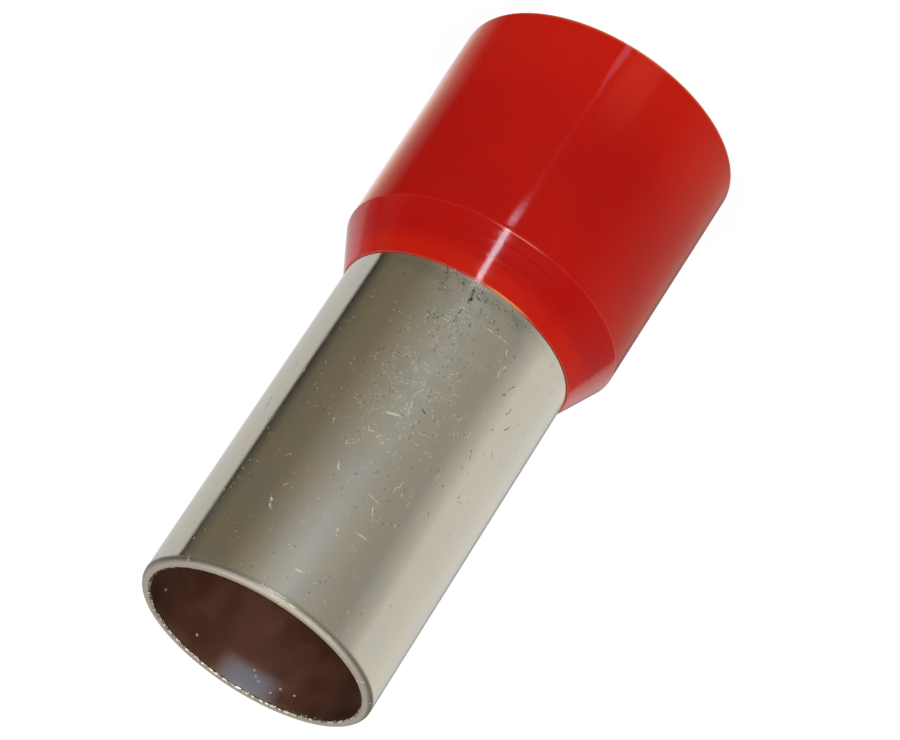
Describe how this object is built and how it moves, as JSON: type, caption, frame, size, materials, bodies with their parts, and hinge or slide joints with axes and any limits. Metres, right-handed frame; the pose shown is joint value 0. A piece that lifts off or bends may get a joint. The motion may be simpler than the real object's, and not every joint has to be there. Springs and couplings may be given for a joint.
{
  "type": "insulated wire ferrule",
  "caption": "Insulated wire ferrule: a tinned copper crimp tube with a flared rear end, held in a red plastic collar that funnels the stripped strands into the tube.",
  "frame": {"origin": "on the axis, at the centre of the collar's mouth, which the part stands on", "axes": "+Z along the axis, from the collar's mouth to the tube's open end; +X and +Y are any two square directions, since the part is round"},
  "size_m": [0.0196, 0.0196, 0.044],
  "materials": {
    "tinned_copper": "bright tin plate over copper, with fine scratches, specks and a saw-cut rim",
    "red_plastic": "smooth glossy moulded polypropylene, slightly translucent"
  },
  "bodies": {
    "root": {"crimp_tube": "tinned_copper", "insulating_collar": "red_plastic"}
  },
  "joints": []
}
